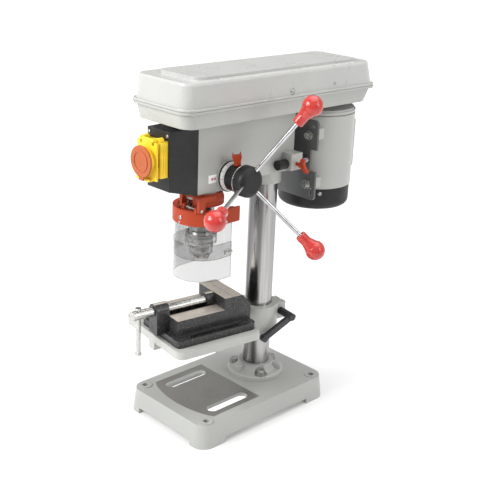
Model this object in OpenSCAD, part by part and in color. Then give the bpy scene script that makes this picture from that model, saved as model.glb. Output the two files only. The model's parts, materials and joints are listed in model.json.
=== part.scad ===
// Bench drill press with a five-speed belt drive, a tilting table and a machine vise.
// The origin is at the middle of the base on the floor, +Z is up, -Y is the front
// where the switch is, and +X is the side with the feed handles.

/* [Base and column] */
// Width of the base, left to right, at the floor
base_w = 190; // [170:1:220]
// Depth of the base, front to back, at the floor
base_d = 290; // [270:1:330]
// Height of the base
base_h = 40; // [30:1:50]
// How much narrower and shorter the top of the base is than its foot
base_draft = 8; // [2:1:16]
// Thickness of the cast base
base_wall = 7; // [5:0.5:10]
// Radius of the four upright corners of the base
base_corner_r = 22; // [14:1:30]
// Height of the arches between the feet of the base
base_arch_h = 9; // [4:1:14]
// Distance between the mounting holes, left to right
base_hole_x = 154; // [130:1:170]
// Distance between the mounting holes, front to back
base_hole_y = 244; // [220:1:280]
// Radius of the mounting holes
base_hole_r = 5; // [3:0.5:6]
// Depth of the machined panel below the painted top of the base
panel_depth = 0.8; // [0.4:0.1:1.5]
// Length of the two T-slots in the base
base_slot_l = 84; // [50:1:90]
// Width of the two T-slots in the base
base_slot_w = 19; // [10:1:22]
// Distance between the two T-slots
base_slot_gap = 104; // [80:1:120]
// Diameter of the column
column_d = 46; // [42:1:48]
// Wall of the column tube
column_wall = 3.5; // [2:0.5:6]
// Distance from the back of the base to the column axis
column_inset = 84; // [78:1:95]
// Radius of the round flange at the foot of the column
flange_r = 48; // [44:1:52]
// Thickness of that flange
flange_t = 9; // [6:1:12]
// Height of the flange and its neck
flange_h = 22; // [18:1:32]

/* [Head] */
// Distance from the column axis to the spindle axis
reach = 134; // [130:1:150]
// Width of the head casting
head_w = 57; // [55:1:62]
// Height of the underside of the head above the floor
head_z = 396; // [390:1:420]
// Height of the head casting
head_h = 111; // [105:1:120]
// Distance from the spindle axis to the front face of the head
head_front = 34; // [32:1:40]
// Distance from the column axis to the back face of the head
head_back = 37; // [32:1:40]
// Diameter of the quill
quill_d = 40; // [36:1:42]
// How far the quill travels
quill_travel = 50; // [40:1:55]
// Diameter of the spindle inside its bearings
spindle_d = 17; // [15:1:18]
// Diameter of the splined drive end of the spindle
spline_d = 12; // [10:1:13]
// Wall of the quill round its bearings
quill_wall = 4; // [3.5:0.5:4.5]

/* [Feed] */
// Number of teeth on the feed pinion
pinion_teeth = 14; // [12:1:14]
// Tooth module of pinion and rack
tooth_module = 1.25; // [1:0.05:1.3]
// Height of the feed axis above the underside of the head
feed_rise = 22; // [20:1:30]
// Diameter of the feed shaft
feed_shaft_d = 16; // [12:1:18]
// Diameter of the feed hub
hub_d = 48; // [40:1:54]
// Diameter of the three feed rods
rod_d = 6.5; // [5:0.5:8]
// Angle at which the rods lean outwards
rod_lean = 30; // [20:1:40]
// Distance of the knobs from the feed axis
knob_reach = 132; // [110:1:140]
// Diameter of the knobs
knob_d = 31; // [24:1:34]
// Angle of the first rod above the horizontal, pointing backwards
rod_phase = 66.7; // [0:1:120]

/* [Belt drive] */
// Width of the belt cover at its rim
cover_w = 135; // [130:1:150]
// Distance from the spindle axis to the front of the cover rim
cover_front = 91; // [85:1:100]
// Distance from the motor axis to the back of the cover rim
cover_back = 71; // [68:1:80]
// Depth of the pan under the rim
pan_h = 26; // [20:1:32]
// Height of the lid above the rim
lid_h = 43; // [40:1:50]
// Thickness of the sheet-metal cover
cover_wall = 2; // [1.5:0.5:3]
// Distance from the column axis to the motor axis
motor_reach = 123; // [118:1:128]
// Radius of the middle step of the spindle pulley
spindle_step_r = 40; // [38:1:42]
// Radius of the middle step of the motor pulley
motor_step_r = 35; // [33:1:37]
// Height of one pulley step
step_h = 11; // [10:0.5:11.5]

/* [Motor] */
// Diameter of the motor
motor_d = 124; // [110:1:124]
// Height of the steel motor shell
motor_h = 131; // [120:1:135]
// Height of the black end cap below the shell
end_cap_h = 38; // [30:1:45]
// Width of the motor bracket plate
bracket_w = 120; // [110:1:130]
// Height of the motor bracket plate
bracket_h = 132; // [120:1:140]
// Thickness of the motor bracket plate
bracket_t = 4; // [3:0.5:5]
// Diameter of the two bars that the motor slides on
slide_bar_d = 13; // [10:1:14]
// Distance between the two bars
slide_bar_gap = 78; // [76:1:84]

/* [Switch] */
// Depth of the switch box in front of the head
box_depth = 52; // [46:1:60]
// Width of the switch box at its front
box_front_w = 50; // [46:1:55]
// Height of the switch box at its front
box_h = 89; // [80:1:95]
// Width of the yellow switch
switch_w = 44; // [38:1:46]
// Height of the yellow switch
switch_h = 53; // [50:1:60]
// Diameter of the red stop disc
stop_d = 46; // [40:1:48]

/* [Chuck and guard] */
// Diameter of the toothed chuck sleeve
chuck_sleeve_d = 50; // [46:1:52]
// Diameter of the chuck body below the sleeve
chuck_body_d = 38; // [36:1:40]
// Length of the chuck
chuck_l = 49; // [47:1:52]
// Diameter of the three chuck jaws
jaw_d = 5.2; // [4.5:0.1:5.5]
// Outer radius of the guard holder
guard_r = 45; // [43:1:48]
// Height of the guard holder
guard_holder_h = 23.5; // [20:0.5:28]
// Height of the upper clear sheet below the holder
guard_upper_h = 56; // [50:1:60]
// Height of the lower clear sheet
guard_lower_h = 59; // [50:1:60]
// Thickness of the clear sheets
guard_t = 1.5; // [1:0.1:2]

/* [Table] */
// Height of the table surface above the floor
table_z = 161; // [150:1:175]
// Width of the table
table_w = 172; // [150:1:180]
// Depth of the table
table_d = 158; // [140:1:164]
// Thickness of the table at its edge
table_t = 13; // [8:1:16]
// Angle that the table is swung round the column
table_swing = -8.5; // [-12:0.5:12]
// Height of the clamp collar on the column
collar_h = 50; // [40:1:56]

/* [Vise] */
// Sideways place of the vise on the table
vise_x = 16; // [0:1:20]
// Length of the vise base
vise_l = 148; // [140:1:156]
// Width of the vise base
vise_w = 114; // [104:1:120]
// Width of the jaws
jaw_w = 77; // [65:1:80]
// Thickness of the vise's side flanges
vise_flange_t = 12; // [8:1:14]
// Height of the ways above the table
way_h = 37.5; // [34:0.5:40]
// Height of the jaws above the ways
vise_jaw_h = 19.5; // [16:0.5:24]
// Diameter of the vise screw
vise_screw_d = 13; // [10:1:14]

/* [Hidden] */
$fn = 64;
// Radial clearance of a running fit
fit = 0.05;
// Space between pieces that only pass each other
gap = 0.4;
// Overlap that keeps a cut clean
eps = 0.5;

base_top_w = base_w - base_draft;
base_top_d = base_d - base_draft;
base_boss_r = base_hole_r + 6.5;
boss_rise = 1.2;
column_r = column_d / 2;
column_y = base_d / 2 - column_inset;
spindle_y = column_y - reach;
flange_bolt_r = (column_r + flange_r) / 2 + 2.5;
slot_y = spindle_y + 19.5;
bolt_seat_z = base_h + flange_t - 0.5;

head_top = head_z + head_h;
head_y0 = spindle_y - head_front;
head_y1 = column_y + head_back;
head_half = head_w / 2;
boss_r = head_half;
boss_z = head_z - 12;
column_top = head_top - 12;
pocket_floor = head_z + 44;

quill_r = quill_d / 2;
bearing_d = quill_d - 2 * quill_wall;
quill_z0 = head_z - 64;
quill_top = head_top - 33;
drive_bearing_z = quill_top + 7;
bearing_h = 11;

pitch_r = pinion_teeth * tooth_module / 2;
pinion_r = pitch_r + tooth_module;
rack_pitch = quill_r - 1.4 * tooth_module;
feed_y = spindle_y + rack_pitch + pitch_r;
feed_z = head_z + feed_rise;
tooth_pitch = PI * tooth_module;
dial_x = head_half + 4.5;
dial_w = 28;
hub_x = dial_x + dial_w + 1;
hub_l = 22;
rod_x = hub_x + 6.8;
knob_s = knob_reach / cos(rod_lean);

motor_y = column_y + motor_reach;
cover_y0 = spindle_y - cover_front;
cover_y1 = motor_y + cover_back;
rim_z = head_top + pan_h;
pulley_z = head_top + 6;
steps = 5;
spindle_steps = [for (k = [-2:2]) spindle_step_r + [-14, -5.5, 0, 6.5, 13][k + 2]];
motor_steps = [for (r = spindle_steps) spindle_step_r + motor_step_r - r];
groove = 6;

motor_r = motor_d / 2;
motor_top = head_top - 10;
motor_z = motor_top - motor_h;
plate_y = motor_y - motor_r - bracket_t;
bar_z = head_z + 24;
bar_x = slide_bar_gap / 2;
ear_y = column_y + 10;
ear_l = 25;
motor_bolt_x = 43;
motor_bolt_zs = [bar_z - 41, bar_z + 41];

box_y0 = head_y0 - box_depth;
box_z1 = head_top - 8;
switch_z = box_z1 - 14 - switch_h / 2;
switch_depth = 14;
flap_t = 3;
flap_y = box_y0 - switch_depth - 4;
flap_hinge_z = switch_z + switch_h / 2 + 2;
flap_barrel = switch_w - 22;
stem_x = 9;
gland_x = 1.2 - head_half;
gland_y = head_y0 - 18;
gland_z = head_z + 34;

chuck_top = quill_z0 - 2;
chuck_z = chuck_top - chuck_l;
sleeve_z = chuck_z + 25;
sleeve_h = chuck_top - 4 - sleeve_z;
jaw_lean = 15;
jaw_open_r = 6.5;
jaw_tip_z = chuck_z + 14;
jaw_l = 24;

guard_z1 = boss_z - 13;
guard_z0 = guard_z1 - guard_holder_h;
guard_hinge_y = spindle_y - 33;
guard_hinge_z = guard_z1 + 3;

collar_z = table_z - 40;
collar_r = column_r + 11;
table_y1 = column_y - collar_r - 18;
table_y0 = table_y1 - table_d;
tilt_z = table_z - 25;
tilt_r = 22;
clamp_y = column_y + collar_r + 4;
clamp_z = table_z - 11;

vise_y0 = table_y0 + 6;
vise_y1 = vise_y0 + vise_l;
way_z = table_z + way_h;
jaw_z1 = way_z + vise_jaw_h;
jaw_face_y = vise_y1 - 34;
jaw_t = 16;
screw_z = way_z + 7.5;
vise_head_y = vise_y0 - 49;
way_gap = 22;
bar_r = 3.5;

// ---------- shared shapes ----------

// Rounded rectangle, centred, in the XY plane.
module rounded(w, d, r) {
    square([w - 2 * r, d], center = true);
    square([w, d - 2 * r], center = true);
    for (x = [-1, 1], y = [-1, 1])
        translate([x * (w / 2 - r), y * (d / 2 - r)]) circle(r);
}

// Rounded rectangle given by its front and back edges.
module rounded_y(w, y0, y1, r) {
    translate([0, (y0 + y1) / 2]) rounded(w, y1 - y0, r);
}

// Slot with round ends along Y.
module slot2d(l, w) {
    square([w, l - w], center = true);
    for (y = [-1, 1]) translate([0, y * (l - w) / 2]) circle(w / 2);
}

// Extrudes an outline drawn in Y and Z to both sides of X = 0.
module across(w) {
    rotate([90, 0, 90]) linear_extrude(w, center = true) children();
}

// Puts the Z axis of its child along +X, at x.
module along_x(x, y, z) {
    translate([x, y, z]) rotate([0, 90, 0]) children();
}

// Puts the Z axis of its child along +Y, at y.
module along_y(x, y, z) {
    translate([x, y, z]) rotate([-90, 0, 0]) children();
}

module tube(ro, ri, h) {
    difference() {
        cylinder(r = ro, h = h);
        translate([0, 0, -eps]) cylinder(r = ri, h = h + 2 * eps);
    }
}

// Hexagon head with a washer under it, standing on Z = 0.
module hex_head(af, h, washer_r) {
    cylinder(r = washer_r, h = 1.6);
    translate([0, 0, 1.6]) cylinder(r = af / sqrt(3), h = h, $fn = 6);
}

// Everything carried by the table collar is swung round the column.
module swung() {
    translate([0, column_y, 0]) rotate([0, 0, table_swing]) translate([0, -column_y, 0]) children();
}

// Wing screw: shank below Z = 0 and two wings above it.
module wing_screw(shank_r, shank_l, wing_w, wing_h) {
    translate([0, 0, -shank_l]) cylinder(r = shank_r, h = shank_l + 1);
    cylinder(r = shank_r + 2.6, h = 6);
    translate([0, 0, 2])
        rotate([90, 0, 0]) linear_extrude(5, center = true)
            polygon([[-4, 0], [-wing_w / 2, wing_h - 8], [-wing_w / 2 + 1, wing_h], [-4, wing_h - 4],
                [4, wing_h - 4], [wing_w / 2 - 1, wing_h], [wing_w / 2, wing_h - 8], [4, 0]]);
}

// ---------- base and column ----------

module base_block(inset, z0, z1) {
    hull() {
        translate([0, 0, z0]) linear_extrude(1)
            rounded(base_w - 2 * inset, base_d - 2 * inset, base_corner_r - inset, $fn = 32);
        translate([0, 0, z1 - 1]) linear_extrude(1)
            rounded(base_top_w - 2 * inset, base_top_d - 2 * inset, base_corner_r - inset - 1, $fn = 32);
    }
}

// Outline of the machined panel: straight sides, a bowed front and bays round the holes.
module panel_outline() {
    half = base_slot_gap / 2 + base_slot_w / 2 + 12;
    front = slot_y - base_slot_l / 2 - 24;
    difference() {
        intersection() {
            translate([-half, front]) square([2 * half, base_slot_l + 36]);
            translate([0, front + 180]) circle(180, $fn = 96);
        }
        for (x = [-1, 1]) translate([x * base_hole_x / 2, -base_hole_y / 2]) circle(base_hole_r + 14);
    }
}

module base() {
    color("gainsboro") difference() {
        union() {
            difference() {
                base_block(0, 0, base_h);
                translate([0, 0, -eps]) base_block(base_wall, 0, base_h - base_wall + eps);
            }
            for (x = [-1, 1], y = [-1, 1])
                translate([x * base_hole_x / 2, y * base_hole_y / 2, 0])
                    cylinder(r = base_boss_r, h = base_h - 1);
            translate([0, column_y, base_h - 18]) cylinder(r = flange_r - 2, h = 17);
            for (x = [-1, 1], y = [-1, 1]) translate([x * base_hole_x / 2, y * base_hole_y / 2, base_h - 1])
                cylinder(r = base_boss_r, h = 1 + boss_rise);
        }
        translate([0, 0, base_h - panel_depth]) linear_extrude(10) panel_outline();
        for (x = [-1, 1], y = [-1, 1])
            translate([x * base_hole_x / 2, y * base_hole_y / 2, -eps])
                cylinder(r = base_hole_r, h = base_h + boss_rise + 2 * eps);
        for (x = [-1, 1])
            translate([x * base_slot_gap / 2, slot_y, base_h - 12]) linear_extrude(20)
                slot2d(base_slot_l, base_slot_w);
        translate([0, column_y, base_h - 18 - eps]) cylinder(r = column_r, h = 20);
        for (a = [-30, 90, 210])
            translate([0, column_y, base_h - 18 - eps]) rotate([0, 0, a])
                translate([flange_bolt_r, 0, 0]) cylinder(r = 4.25, h = 20);
        translate([0, 0, -eps]) linear_extrude(base_arch_h + eps)
            rounded(base_w + 20, base_d - 100, 4);
        translate([0, 0, -eps]) linear_extrude(base_arch_h + eps)
            rounded(base_w - 60, base_d + 20, 4);
    }
}

module column_flange() {
    color("silver") translate([0, column_y, 0]) difference() {
        rotate_extrude() polygon([
            [column_r, base_h], [flange_r, base_h], [flange_r, base_h + flange_t - 2],
            [flange_r - 2, base_h + flange_t], [column_r + 14, base_h + flange_t + 1],
            [column_r + 9, base_h + flange_t + 5], [column_r + 7, base_h + flange_h],
            [column_r, base_h + flange_h]]);
        for (a = [-30, 90, 210]) rotate([0, 0, a]) translate([flange_bolt_r, 0, 0]) {
            translate([0, 0, base_h - eps]) cylinder(r = 4.25, h = flange_h);
            translate([0, 0, bolt_seat_z]) cylinder(r = 10.5, h = flange_h);
        }
    }
}

module flange_bolts() {
    color("lightgray") translate([0, column_y, 0]) for (a = [-30, 90, 210])
        rotate([0, 0, a]) translate([flange_bolt_r, 0, 0]) {
            translate([0, 0, base_h - 17]) cylinder(r = 4.25, h = bolt_seat_z - base_h + 17);
            translate([0, 0, bolt_seat_z]) hex_head(13, 6, 9);
        }
}

module column() {
    color("lightslategray") translate([0, column_y, base_h - 18])
        tube(column_r, column_r - column_wall, column_top - base_h + 18);
}

// ---------- head ----------

module head_shape() {
    across(head_w) polygon([
        [head_y0, head_z + 1], [spindle_y + 18, head_z], [spindle_y + 34, head_z + 8],
        [head_y1, head_z + 8], [head_y1, head_top], [head_y0, head_top]]);
    translate([0, spindle_y, boss_z]) cylinder(r = boss_r, h = head_top - boss_z);
    translate([0, column_y, boss_z + 2]) cylinder(r = boss_r, h = head_top - boss_z - 2);
    translate([-bar_x - 11, ear_y, bar_z - 10]) cube([slide_bar_gap + 22, ear_l, 27]);
    along_x(head_half - 1, feed_y, feed_z) cylinder(r = hub_d / 2 + 1, h = 5);
    along_x(-head_half - 3, feed_y, feed_z) cylinder(r = hub_d / 2 - 2, h = 5);
}

module head_bores() {
    translate([0, spindle_y, boss_z - eps]) cylinder(r = quill_r + fit, h = quill_top + 3 - boss_z + eps);
    translate([0, spindle_y, boss_z]) cylinder(r = bearing_d / 2 - 3, h = head_h + 20);
    translate([0, spindle_y, drive_bearing_z]) cylinder(r = bearing_d / 2, h = head_h);
    translate([0, column_y, boss_z - eps]) cylinder(r = column_r, h = column_top - boss_z + eps);
    along_x(-head_half - 10, feed_y, feed_z) cylinder(r = pinion_r + 0.6, h = head_half + 25);
    along_x(0, feed_y, feed_z) cylinder(r = feed_shaft_d / 2 + fit, h = head_w);
    for (x = [-1, 1]) along_y(x * bar_x, ear_y - eps, bar_z)
        cylinder(r = slide_bar_d / 2 + fit, h = ear_l + 2 * eps);
    along_x(bar_x, ear_y + ear_l / 2, bar_z) cylinder(r = 3.05, h = 30);
    for (z = [0, 36]) along_x(-head_half - eps, column_y, head_z + 30 + z)
        cylinder(r = 4, h = head_half - column_r + 2 * eps);
    translate([-head_half + 6, feed_y + 19, pocket_floor])
        cube([head_w - 12, column_y - boss_r - feed_y - 19, head_h]);
}

module head() {
    color("silver") difference() {
        head_shape();
        head_bores();
    }
}

module head_set_screws() {
    color("dimgray") for (z = [0, 36])
        along_x(-head_half - 2, column_y, head_z + 30 + z) difference() {
            cylinder(r = 4, h = head_half + 2 - column_r);
            translate([0, 0, -eps]) cylinder(r = 2, h = 3, $fn = 6);
        }
}

module drive_bearings() {
    color("gray") translate([0, spindle_y, 0]) for (k = [0, 1])
        translate([0, 0, drive_bearing_z + k * (head_top - drive_bearing_z - bearing_h)])
            tube(bearing_d / 2, 10 + fit, bearing_h);
}

// ---------- quill, spindle and chuck ----------

rack_teeth = floor((quill_travel + 16) / tooth_pitch);

module rack_gap() {
    across(quill_d * 0.7) polygon([
        [rack_pitch + 3 * tooth_module, -tooth_pitch * 0.42], [rack_pitch, -tooth_pitch * 0.3],
        [rack_pitch - 1.35 * tooth_module, -tooth_pitch * 0.17],
        [rack_pitch - 1.35 * tooth_module, tooth_pitch * 0.17], [rack_pitch, tooth_pitch * 0.3],
        [rack_pitch + 3 * tooth_module, tooth_pitch * 0.42]]);
}

module quill() {
    color("lightgray") translate([0, spindle_y, 0]) difference() {
        translate([0, 0, quill_z0]) cylinder(r = quill_r, h = quill_top - quill_z0);
        translate([0, 0, quill_z0 - eps]) cylinder(r = spindle_d / 2 + 3, h = 300);
        for (z = [quill_z0 + 3, quill_top - bearing_h - 3])
            translate([0, 0, z]) cylinder(r = bearing_d / 2, h = bearing_h);
        translate([0, 0, quill_z0 - eps]) cylinder(r = bearing_d / 2, h = 3 + 2 * eps);
        translate([0, 0, quill_top - 3 - eps]) cylinder(r = bearing_d / 2, h = 5);
        translate([-quill_r, rack_pitch + tooth_module, quill_z0 + 30]) cube([quill_d, 10, 200]);
        for (k = [-3:rack_teeth - 1]) translate([0, 0, feed_z + k * tooth_pitch]) rack_gap();
    }
}

module quill_bearings() {
    color("gray") translate([0, spindle_y, 0])
        for (z = [quill_z0 + 3, quill_top - bearing_h - 3])
            translate([0, 0, z]) tube(bearing_d / 2, spindle_d / 2 + fit, bearing_h);
}

module spindle() {
    color("lightgray") translate([0, spindle_y, 0]) {
        translate([0, 0, chuck_top - 20]) cylinder(r = spindle_d / 2 - 1, h = 20);
        translate([0, 0, chuck_top]) cylinder(r = spindle_d / 2, h = quill_top - chuck_top + 2);
        translate([0, 0, quill_top + 2]) cylinder(r = spline_d / 2, h = quill_travel + 34);
    }
}

// Axis of one chuck jaw: it starts at the tip and leans away from the spindle axis.
module jaw_axis(k) {
    translate([0, spindle_y, 0]) rotate([0, 0, 30 + 120 * k])
        translate([jaw_open_r + jaw_d / 2, 0, jaw_tip_z]) rotate([0, jaw_lean, 0]) children();
}

module chuck_body() {
    color("lightgray") difference() {
        translate([0, spindle_y, 0]) rotate_extrude() polygon([
            [spindle_d / 2 - 1, chuck_top], [spindle_d / 2 - 1, chuck_top - 20], [0, chuck_top - 20],
            [0, chuck_z + 20], [jaw_open_r, chuck_z + 13], [jaw_open_r, chuck_z],
            [chuck_body_d / 3, chuck_z], [chuck_body_d / 3 + 1, chuck_z + 4],
            [chuck_body_d / 2 - 1, chuck_z + 11], [chuck_body_d / 2, chuck_z + 12.5],
            [chuck_body_d / 2, sleeve_z], [chuck_body_d / 2 - gap, sleeve_z],
            [chuck_body_d / 2 - gap, chuck_top - 2], [chuck_body_d / 2 - 3, chuck_top]]);
        for (k = [0:2]) {
            jaw_axis(k) translate([0, 0, -26]) cylinder(r = jaw_d / 2 + fit, h = 26 + jaw_l + 1);
            translate([0, spindle_y, 0]) rotate([0, 0, -30 + 120 * k])
                along_x(chuck_body_d / 2 - 8, 0, sleeve_z - 6) cylinder(r = 3, h = 12);
        }
    }
}

sleeve_teeth = 30;

module chuck_sleeve() {
    color("silver") translate([0, spindle_y, 0]) difference() {
        rotate_extrude() polygon([
            [chuck_body_d / 2 + 0.01, sleeve_z + gap], [chuck_sleeve_d / 2 - 2.5, sleeve_z + gap],
            [chuck_sleeve_d / 2, sleeve_z + 4], [chuck_sleeve_d / 2, sleeve_z + sleeve_h - 1],
            [chuck_sleeve_d / 2 - 1, sleeve_z + sleeve_h], [chuck_body_d / 2 + 0.01, sleeve_z + sleeve_h]]);
        for (k = [0:sleeve_teeth - 1]) rotate([0, 0, k * 360 / sleeve_teeth])
            translate([chuck_sleeve_d / 2 - 3.2, -0.9, sleeve_z - 1]) cube([6, 1.8, 4]);
    }
}

module chuck_jaw(k) {
    color("dimgray") jaw_axis(k) cylinder(r = jaw_d / 2, h = jaw_l);
}

module chuck_jaw_1() {
    chuck_jaw(0);
}

module chuck_jaw_2() {
    chuck_jaw(1);
}

module chuck_jaw_3() {
    chuck_jaw(2);
}

// ---------- feed ----------

module pinion_tooth() {
    polygon([[pitch_r - 1.6 * tooth_module, -tooth_pitch * 0.27], [pitch_r, -tooth_pitch * 0.17],
        [pinion_r - 0.1, -tooth_pitch * 0.07], [pinion_r - 0.1, tooth_pitch * 0.07],
        [pitch_r, tooth_pitch * 0.17], [pitch_r - 1.6 * tooth_module, tooth_pitch * 0.27]]);
}

module pinion_shaft() {
    color("gray") translate([0, feed_y, feed_z]) {
        along_x(-14, 0, 0) rotate([0, 0, -90]) linear_extrude(28) {
            circle(pitch_r - 1.3 * tooth_module);
            for (k = [0:pinion_teeth - 1])
                rotate([0, 0, k * 360 / pinion_teeth]) pinion_tooth();
        }
        along_x(13, 0, 0) cylinder(r = feed_shaft_d / 2, h = hub_x + 8 - 13);
        along_x(-head_half + 2, 0, 0) cylinder(r = pinion_r + 0.55, h = head_half - 16);
        along_x(-head_half - 14, 0, 0) cylinder(r = 5, h = 20);
    }
}

module return_spring() {
    turns = 4;
    inner = 7;
    pitch = 3;
    arc = [for (a = [0:15:360 * turns]) a];
    function spiral(a, extra) = (inner + pitch * a / 360 + extra) * [cos(a), sin(a)];
    color("slategray") along_x(-head_half - 12, feed_y, feed_z) linear_extrude(8)
        polygon(concat([for (a = arc) spiral(a, 0)], [for (k = [len(arc) - 1:-1:0]) spiral(arc[k], 1)]));
}

module spring_cap() {
    color("silver") along_x(-head_half - 19, feed_y, feed_z) difference() {
        union() {
            cylinder(r = hub_d / 2 - 4, h = 2);
            translate([0, 0, 1]) cylinder(r = hub_d / 2 - 2, h = 15);
        }
        translate([0, 0, 3]) cylinder(r = hub_d / 2 - 4, h = 20);
        translate([0, 0, -eps]) cylinder(r = 3, h = 5);
    }
}

module depth_collar() {
    color("black") translate([0, feed_y, feed_z]) difference() {
        union() {
            along_x(dial_x, 0, 0) cylinder(r = hub_d / 2, h = 2);
            along_x(dial_x + 1, 0, 0) cylinder(r = hub_d / 2 - 6, h = 10);
            along_x(dial_x + 9, 0, 0) cylinder(r = hub_d / 2 - 3, h = dial_w - 9);
        }
        along_x(dial_x - eps, 0, 0) cylinder(r = feed_shaft_d / 2 + fit, h = dial_w + 2 * eps);
        rotate([97, 0, 0]) along_y(dial_x + 18, 0, 0) cylinder(r = 3, h = 40);
    }
}

module depth_scale() {
    color("white") translate([0, feed_y, feed_z]) difference() {
        along_x(dial_x + 2, 0, 0) cylinder(r1 = hub_d / 2 - 1, r2 = hub_d / 2 - 2.6, h = 7);
        along_x(dial_x + 2 - eps, 0, 0) cylinder(r = hub_d / 2 - 6, h = 8 + eps);
    }
}

module depth_wing_screw() {
    color("tomato") translate([0, feed_y, feed_z]) rotate([97, 0, 0])
        along_y(dial_x + 18, hub_d / 2 - 2, 0) rotate([0, 0, 60])
            wing_screw(3 - fit, hub_d / 2 - 2 - feed_shaft_d / 2 - 1, 14, 18);
}

// Frame of one feed rod: its Z axis runs out along the rod.
module rod_axis(k) {
    translate([0, feed_y, feed_z]) rotate([rod_phase + 120 * k, 0, 0])
        translate([rod_x, 0, 0]) rotate([0, 0, -rod_lean]) rotate([-90, 0, 0]) children();
}

module feed_hub() {
    color("black") difference() {
        along_x(hub_x, feed_y, feed_z) rotate_extrude() polygon(concat(
            [[0, 0], [hub_d / 2 - 1, 0], [hub_d / 2, 1]],
            [for (a = [0:10:90]) [hub_d / 2 - 10 + 10 * cos(a), hub_l - 10 + 10 * sin(a)]], [[0, hub_l]]));
        along_x(hub_x - eps, feed_y, feed_z) cylinder(r = feed_shaft_d / 2, h = 8 + eps);
        for (k = [0:2]) rod_axis(k) translate([0, 0, 10]) cylinder(r = rod_d / 2, h = 40);
    }
}

module feed_rods() {
    color("white") for (k = [0:2]) rod_axis(k)
        translate([0, 0, 10]) cylinder(r = rod_d / 2, h = knob_s - 20);
}

module feed_knobs() {
    r = knob_d / 2;
    color("crimson") for (k = [0:2]) rod_axis(k) translate([0, 0, knob_s]) rotate_extrude() difference() {
        polygon(concat([[0, -r * 2.2], [r * 0.5, -r * 2.2], [r * 0.56, -r * 2.1], [r * 0.55, -r * 1.3]],
            [for (a = [-40:10:90]) [r * cos(a), r * sin(a)]]));
        translate([0, -40]) square([rod_d / 2, 30]);
    }
}

// ---------- belt drive ----------

// One stepped pulley from the radii of its steps, the lowest first.
module stepped_pulley(radii, bore) {
    difference() {
        rotate_extrude() polygon(concat([[0, 0]], [for (k = [0:steps - 1]) for (p = [
            [0, 0], [0, 1], [-groove, 3.3], [-groove, step_h - 3.3], [0, step_h - 1], [0, step_h]])
            [radii[k] + p[0], k * step_h + p[1]]], [[0, steps * step_h]]));
        translate([0, 0, -eps]) cylinder(r = bore, h = steps * step_h + 2 * eps);
    }
}

module spindle_pulley() {
    color("silver") translate([0, spindle_y, 0]) {
        translate([0, 0, pulley_z]) stepped_pulley(spindle_steps, spline_d / 2 + fit);
        translate([0, 0, drive_bearing_z]) tube(10, spline_d / 2 + fit, pulley_z - drive_bearing_z);
    }
}

module motor_pulley() {
    color("silver") translate([0, motor_y, pulley_z]) stepped_pulley(motor_steps, 7);
}

// A loop round both pulleys on their middle steps, inset by i0 below and i1 above.
module belt_loop(z, h, i0, i1) {
    hull() {
        translate([0, spindle_y, z]) cylinder(r1 = spindle_step_r - i0, r2 = spindle_step_r - i1, h = h);
        translate([0, motor_y, z]) cylinder(r1 = motor_step_r - i0, r2 = motor_step_r - i1, h = h);
    }
}

// The belt is a V in section, so that it fills the grooves of both pulleys.
module drive_belt() {
    inner = groove - gap;
    color("black") translate([0, 0, pulley_z + 2 * step_h]) difference() {
        belt_loop(1.6, step_h - 3.2, gap, gap);
        belt_loop(1, step_h - 2, inner, inner);
        belt_loop(1.59, 2.1, gap + 0.02, inner);
        belt_loop(step_h - 3.69, 2.1, inner, gap + 0.02);
    }
}

module pan_shape(inset, z0, z1) {
    r = 20 - inset;
    hull() {
        translate([0, 0, z0]) linear_extrude(0.5)
            rounded_y(cover_w - 14 - 2 * inset, cover_y0 + 8 + inset, cover_y1 - 16 - inset, r, $fn = 32);
        translate([0, 0, z1 - 0.5]) linear_extrude(0.5)
            rounded_y(cover_w - 8 - 2 * inset, cover_y0 + 4 + inset, cover_y1 - 5 - inset, r, $fn = 32);
    }
}

module cover_pan() {
    color("gainsboro") difference() {
        union() {
            pan_shape(0, head_top, rim_z);
            translate([0, 0, rim_z - 4]) linear_extrude(4) rounded_y(cover_w, cover_y0, cover_y1, 22);
        }
        translate([0, 0, cover_wall]) pan_shape(cover_wall, head_top, rim_z + eps);
        translate([0, spindle_y, head_top - eps]) cylinder(r = 12, h = 10);
        translate([0, motor_y - 6, head_top - eps]) linear_extrude(10) slot2d(36, 20);
    }
}

module lid_shape(inset, z0) {
    r = 21 - inset;
    hull() {
        translate([0, 0, z0]) linear_extrude(0.5)
            rounded_y(cover_w - 7 - 2 * inset, cover_y0 + 3.5 + inset, cover_y1 - 3.5 - inset, r, $fn = 32);
        translate([0, 0, rim_z + lid_h - 8 - inset]) linear_extrude(0.5)
            rounded_y(cover_w - 11 - 2 * inset, cover_y0 + 7 + inset, cover_y1 - 13 - inset, r, $fn = 32);
        translate([0, 0, rim_z + lid_h - 4.5 - inset]) linear_extrude(0.5)
            rounded_y(cover_w - 15 - 2 * inset, cover_y0 + 9 + inset, cover_y1 - 15 - inset, r - 2, $fn = 32);
    }
}

lid_knuckles = [cover_y0 + 130, cover_y0 + 290];
knuckle_l = 36;
hinge_x = -cover_w / 2 - 3.2;

module lid() {
    color("whitesmoke") difference() {
        union() {
            lid_shape(0, rim_z + gap);
            translate([0, 0, rim_z + gap]) linear_extrude(3)
                rounded_y(cover_w - 1, cover_y0 + 0.5, cover_y1 - 0.5, 22);
            translate([0, 0, rim_z + lid_h - 5]) linear_extrude(5)
                rounded_y(cover_w - 44, cover_y0 + 38, cover_y1 - 32, 14);
            for (y = lid_knuckles) {
                along_y(hinge_x, y, rim_z + 4) cylinder(r = 3, h = knuckle_l / 2 - gap);
                translate([hinge_x, y, rim_z + 3]) cube([6, knuckle_l / 2 - gap, 4]);
            }
        }
        lid_shape(cover_wall, rim_z + gap - 1);
        for (y = lid_knuckles) along_y(hinge_x, y - eps, rim_z + 4) cylinder(r = 1.5 + fit, h = knuckle_l);
    }
}

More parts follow.
